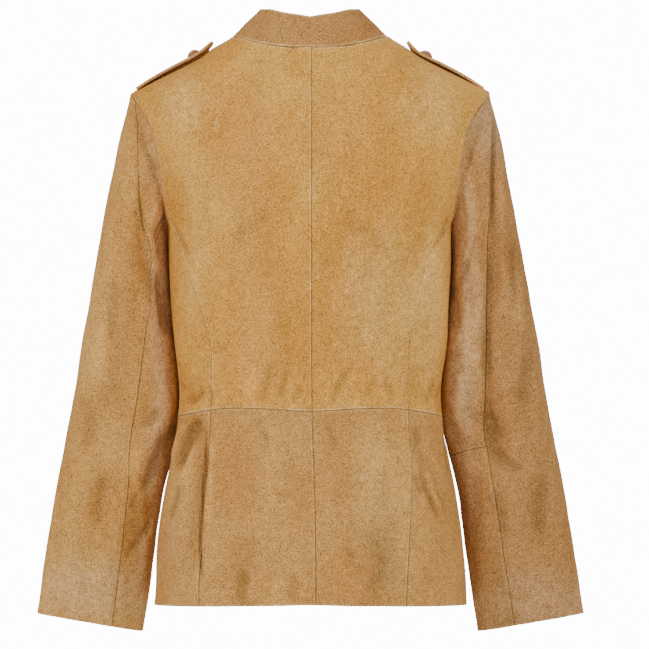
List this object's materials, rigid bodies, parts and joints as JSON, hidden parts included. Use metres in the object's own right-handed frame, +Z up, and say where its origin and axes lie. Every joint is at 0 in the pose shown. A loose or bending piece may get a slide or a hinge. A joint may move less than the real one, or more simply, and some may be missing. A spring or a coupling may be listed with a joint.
{
  "type": "suede jacket",
  "caption": "Fitted suede jacket, hollow as if worn, with a stand collar, shoulder straps with buttons, long sleeves and a waist seam over a flared skirt.",
  "frame": {"origin": "middle of the neck opening, level with the nape seam, where the jacket hangs on its wearer", "axes": "+Z up, -Y to the back of the jacket (the side in the picture), +X to the wearer's right"},
  "size_m": [0.6159, 0.2512, 0.6983],
  "materials": {
    "suede": "napped suede, matt",
    "collar_suede": "napped suede, matt",
    "button": "satin, leather-brown"
  },
  "bodies": {
    "root": {"back_left": "suede", "side_left": "suede", "front_left": "suede", "skirt_back_left": "suede", "skirt_side_left": "suede", "skirt_front_left": "suede", "sleeve_upper_left": "suede", "sleeve_under_left": "suede", "epaulette_left": "suede", "epaulette_button_left": "button", "back_right": "suede", "side_right": "suede", "front_right": "suede", "skirt_back_right": "suede", "skirt_side_right": "suede", "skirt_front_right": "suede", "sleeve_upper_right": "suede", "sleeve_under_right": "suede", "epaulette_right": "suede", "epaulette_button_right": "button", "sleeve_under_cuff_right": "suede", "collar": "collar_suede", "front_button_1": "button", "front_button_2": "button", "front_button_3": "button", "front_button_4": "button", "front_button_5": "button", "front_button_6": "button", "front_button_7": "button"}
  },
  "joints": []
}
